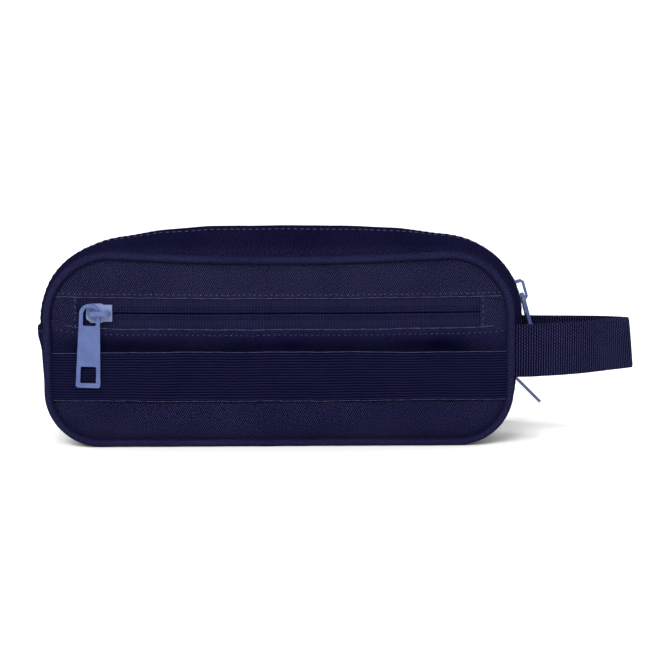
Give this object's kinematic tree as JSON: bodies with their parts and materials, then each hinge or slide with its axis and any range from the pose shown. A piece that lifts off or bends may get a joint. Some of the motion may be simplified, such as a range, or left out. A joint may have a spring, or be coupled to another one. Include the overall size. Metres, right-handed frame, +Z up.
{
  "type": "pencil case",
  "caption": "Soft zipped fabric pencil case with a full front pocket, an elastic band, piped edges, a slim rear compartment and a side wrist loop.",
  "frame": {"origin": "on the floor under the middle of the case's body, half way between its ends and half way between its front and rear seams", "axes": "+X along the case towards the wrist loop, -Y towards the front pocket, +Z up"},
  "size_m": [0.2874, 0.0948, 0.103],
  "materials": {
    "panel_fabric": "close twill weave, matt, dark navy",
    "gusset_fabric": "close twill weave, matt, dark navy",
    "piping_fabric": "twill cut on the bias round a cord",
    "lining_fabric": "smooth woven lining, matt grey",
    "elastic": "ribbed woven elastic",
    "webbing": "ribbed flat webbing, slight sheen",
    "zip_tape": "ribbed woven tape",
    "zip_coil": "nylon coil",
    "piping_cord": "twisted filler cord",
    "zip_stop": "close stitched bar",
    "zip_metal": "smooth satin paint, pale periwinkle blue",
    "spring_steel": "plain thin steel"
  },
  "bodies": {
    "case": {"front_panel_upper": "panel_fabric", "front_panel_lower": "panel_fabric", "pocket_cover_left": "panel_fabric", "pocket_cover_right": "panel_fabric", "pocket_tape_upper": "zip_tape", "pocket_tape_lower": "zip_tape", "pocket_coil_upper": "zip_coil", "pocket_coil_lower": "zip_coil", "pocket_stops": "zip_stop", "pocket_lining": "lining_fabric", "elastic_band": "elastic", "rear_panel": "panel_fabric", "divider_panel": "lining_fabric", "bottom_gusset": "gusset_fabric", "gusset_hem_left": "gusset_fabric", "gusset_hem_right": "gusset_fabric", "front_strip_ends": "gusset_fabric", "middle_strip_ends": "gusset_fabric", "rear_inner_strip": "gusset_fabric", "rear_outer_strip_ends": "gusset_fabric", "main_tape_front_ends": "zip_tape", "main_tape_rear_ends": "zip_tape", "rear_tape_inner": "zip_tape", "rear_tape_outer_ends": "zip_tape", "main_coil_front_ends": "zip_coil", "main_coil_rear_ends": "zip_coil", "rear_coil_inner": "zip_coil", "rear_coil_outer_ends": "zip_coil", "main_zip_stops": "zip_stop", "rear_zip_stops": "zip_stop", "piping_front": "piping_fabric", "piping_rear": "piping_fabric", "piping_cord_front": "piping_cord", "piping_cord_rear": "piping_cord", "wrist_loop": "webbing"},
    "front_lip": {"front_strip_top": "gusset_fabric", "main_tape_front_top": "zip_tape", "main_coil_front_top": "zip_coil"},
    "middle_lip": {"middle_strip_top": "gusset_fabric", "main_tape_rear_top": "zip_tape", "main_coil_rear_top": "zip_coil"},
    "rear_lip": {"rear_outer_strip_top": "gusset_fabric", "rear_tape_outer_top": "zip_tape", "rear_coil_outer_top": "zip_coil"},
    "pocket_slider": {"pocket_slider_body": "zip_metal", "pocket_slider_bridge": "zip_metal", "pocket_lock_spring": "spring_steel"},
    "pocket_pull_tab": {"pocket_pull": "zip_metal"},
    "main_slider": {"main_slider_body": "zip_metal", "main_slider_bridge": "zip_metal", "main_lock_spring": "spring_steel"},
    "main_pull_tab": {"main_pull": "zip_metal"},
    "rear_slider": {"rear_slider_body": "zip_metal", "rear_slider_bridge": "zip_metal", "rear_lock_spring": "spring_steel"},
    "rear_pull_tab": {"rear_pull": "zip_metal"}
  },
  "joints": [
    {"name": "pocket_slider_slide", "type": "slide", "parent": "case", "child": "pocket_slider", "axis": [1, 0, 0], "range_m": [0, 0.167]},
    {"name": "pocket_pull_swing", "type": "hinge", "parent": "pocket_slider", "child": "pocket_pull_tab", "pos_m": [-0.0882, -0.03915, 0.063], "axis": [0, 1, 0], "range_deg": [-36, 20]},
    {"name": "main_slider_turn", "type": "hinge", "parent": "case", "child": "main_slider", "pos_m": [0.0788, -0.011, 0.0605], "axis": [0, -1, 0], "range_deg": [-11, 54]},
    {"name": "main_pull_swing", "type": "hinge", "parent": "main_slider", "child": "main_pull_tab", "pos_m": [0.11675, -0.011, 0.06909], "axis": [0, -1, 0], "range_deg": [-8, 127]},
    {"name": "rear_slider_slide", "type": "slide", "parent": "case", "child": "rear_slider", "axis": [0, 0, 1], "range_m": [0, 0.026]},
    {"name": "rear_pull_swing", "type": "hinge", "parent": "rear_slider", "child": "rear_pull_tab", "pos_m": [0.11465, 0.025, 0.028], "axis": [0.7071, 0, 0.7071], "range_deg": [-1, 38]},
    {"name": "front_lip_open", "type": "hinge", "parent": "case", "child": "front_lip", "pos_m": [0, -0.0334, 0.092], "axis": [1, 0, 0], "range_deg": [0, 75]},
    {"name": "middle_lip_open", "type": "hinge", "parent": "case", "child": "middle_lip", "pos_m": [0, 0.0094, 0.094], "axis": [-1, 0, 0], "range_deg": [0, 60]},
    {"name": "rear_lip_open", "type": "hinge", "parent": "case", "child": "rear_lip", "pos_m": [0, 0.0341, 0.0915], "axis": [-1, 0, 0], "range_deg": [0, 75]}
  ]
}
